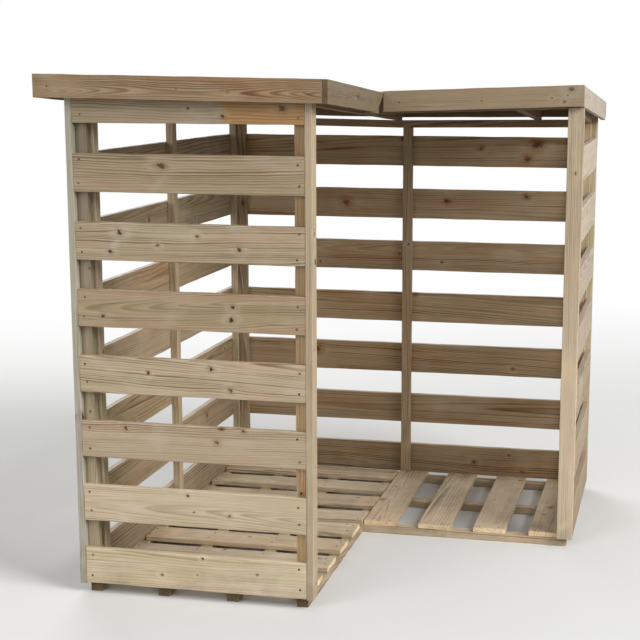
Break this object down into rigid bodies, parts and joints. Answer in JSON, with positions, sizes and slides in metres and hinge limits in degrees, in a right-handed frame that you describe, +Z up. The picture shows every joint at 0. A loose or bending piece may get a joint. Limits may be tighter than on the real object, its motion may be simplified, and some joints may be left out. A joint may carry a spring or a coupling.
{
  "type": "corner log store",
  "caption": "Open-fronted corner store for firewood: slatted softwood walls in an L, boarded floor on bearers and a sloping boarded roof with a fascia.",
  "frame": {"origin": "on the ground, under the middle of the roof's outline", "axes": "+Z up; -Y is the front, where the left wing's end panel and the right wing's opening face; +X is to the right of someone who looks at the front"},
  "size_m": [1.31, 1.338, 1.3295],
  "materials": {
    "slat_wood": "sawn, pressure treated",
    "frame_wood": "sawn, pressure treated",
    "batten_wood": "sawn, pressure treated",
    "floor_wood": "sawn, pressure treated",
    "roof_wood": "sawn, pressure treated",
    "fascia_wood": "sawn, pressure treated"
  },
  "bodies": {
    "root": {"left_end_slats": "slat_wood", "left_side_slats": "slat_wood", "back_slats": "slat_wood", "right_end_slats": "slat_wood", "left_end_upright_left": "frame_wood", "left_end_upright_right": "frame_wood", "left_side_upright_front": "frame_wood", "left_side_upright_middle": "frame_wood", "left_side_upright_back": "frame_wood", "back_upright_left": "frame_wood", "back_upright_middle": "frame_wood", "back_upright_right": "frame_wood", "right_end_upright_front": "frame_wood", "right_end_upright_back": "frame_wood", "left_floor_bearer_1": "frame_wood", "left_floor_bearer_2": "frame_wood", "left_floor_bearer_3": "frame_wood", "left_floor_bearer_4": "frame_wood", "right_floor_bearer_1": "frame_wood", "right_floor_bearer_2": "frame_wood", "right_floor_bearer_3": "frame_wood", "left_rafter": "frame_wood", "middle_rafter": "frame_wood", "extra_rafter": "frame_wood", "right_rafter": "frame_wood", "front_header": "frame_wood", "back_plate_left": "frame_wood", "back_plate_right": "frame_wood", "corner_block": "frame_wood", "left_corner_batten": "batten_wood", "left_opening_batten": "batten_wood", "right_opening_batten": "batten_wood", "right_corner_batten": "batten_wood", "left_floor_boards": "floor_wood", "right_floor_boards": "floor_wood", "left_wing_roof_boards": "roof_wood", "back_corner_roof_boards": "roof_wood", "right_wing_roof_boards": "roof_wood", "left_wing_front_fascia": "fascia_wood", "left_side_fascia": "fascia_wood", "back_fascia_left": "fascia_wood", "back_fascia_right": "fascia_wood", "right_end_fascia": "fascia_wood", "right_wing_front_fascia": "fascia_wood", "left_wing_inner_fascia": "fascia_wood"}
  },
  "joints": []
}
